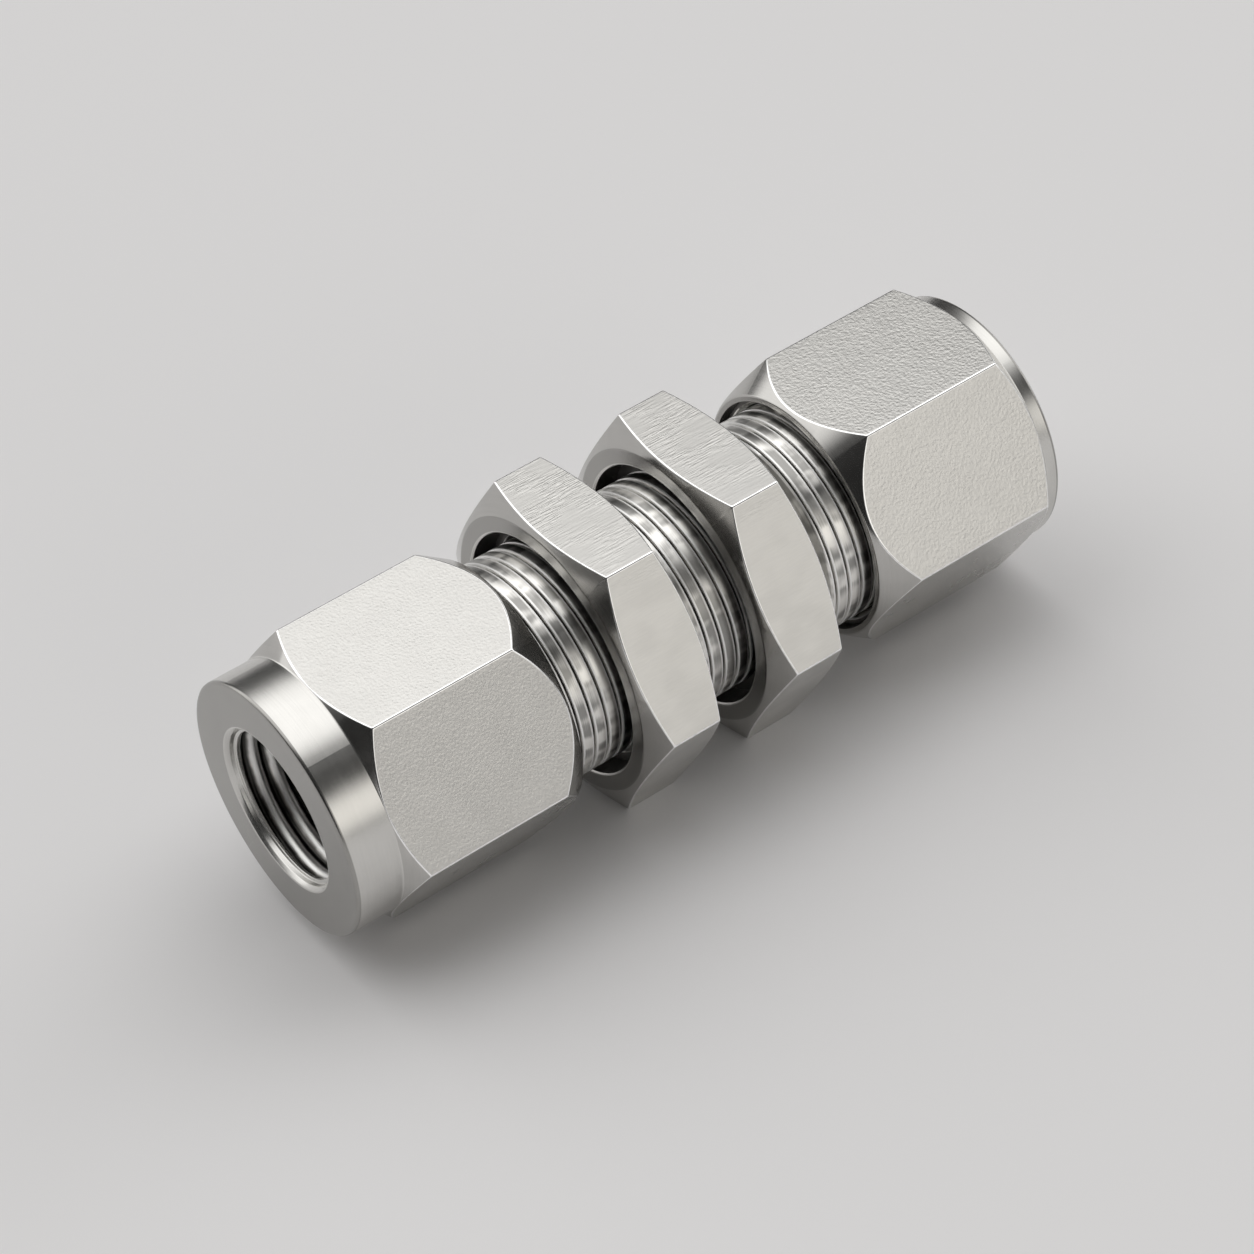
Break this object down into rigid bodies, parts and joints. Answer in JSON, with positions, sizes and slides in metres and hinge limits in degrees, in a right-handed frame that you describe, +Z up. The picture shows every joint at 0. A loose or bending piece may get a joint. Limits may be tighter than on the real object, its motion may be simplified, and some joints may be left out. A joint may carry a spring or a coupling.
{
  "type": "bulkhead tube fitting",
  "caption": "Stainless steel double-ferrule bulkhead union: hexagon body and jam nut clamp a panel, and a hexagon nut at each end grips a tube.",
  "frame": {"origin": "under the middle of the fitting, on the surface that its two wide hexagons lie on", "axes": "+X along the fitting's axis, from the left tube nut to the right one; +Z up, square to the flats it rests on"},
  "size_m": [0.0698, 0.0294, 0.0254],
  "materials": {
    "body_steel": "turned stainless steel, satin flats",
    "nut_steel": "stainless steel, finely blasted flats and turned ends",
    "ferrule_steel": "turned stainless steel"
  },
  "bodies": {
    "body": {"body": "body_steel"},
    "jam_nut": {"jam_nut": "nut_steel"},
    "left_ferrules": {"left_front_ferrule": "ferrule_steel", "left_back_ferrule": "ferrule_steel"},
    "left_nut": {"left_tube_nut": "nut_steel"},
    "right_ferrules": {"right_front_ferrule": "ferrule_steel", "right_back_ferrule": "ferrule_steel"},
    "right_nut": {"right_tube_nut": "nut_steel"}
  },
  "joints": [
    {"name": "jam_nut_travel", "type": "slide", "parent": "body", "child": "jam_nut", "axis": [1, 0, 0], "range_m": [-0.00381, 0.00381]},
    {"name": "left_nut_advance", "type": "slide", "parent": "body", "child": "left_ferrules", "axis": [-1, 0, 0], "range_m": [0, 0.00636]},
    {"name": "left_nut_turn", "type": "hinge", "parent": "left_ferrules", "child": "left_nut", "pos_m": [-0.0245, 0, 0.0127], "axis": [-1, 0, 0], "range_deg": [0, 1800]},
    {"name": "right_nut_advance", "type": "slide", "parent": "body", "child": "right_ferrules", "axis": [1, 0, 0], "range_m": [0, 0.00636]},
    {"name": "right_nut_turn", "type": "hinge", "parent": "right_ferrules", "child": "right_nut", "pos_m": [0.0255, 0, 0.0127], "axis": [1, 0, 0], "range_deg": [0, 1800]}
  ],
  "couplings": [
    {"joint": "left_nut_advance", "follows": "left_nut_turn", "m_per_rad": 0.00020213},
    {"joint": "right_nut_advance", "follows": "right_nut_turn", "m_per_rad": 0.00020213}
  ]
}
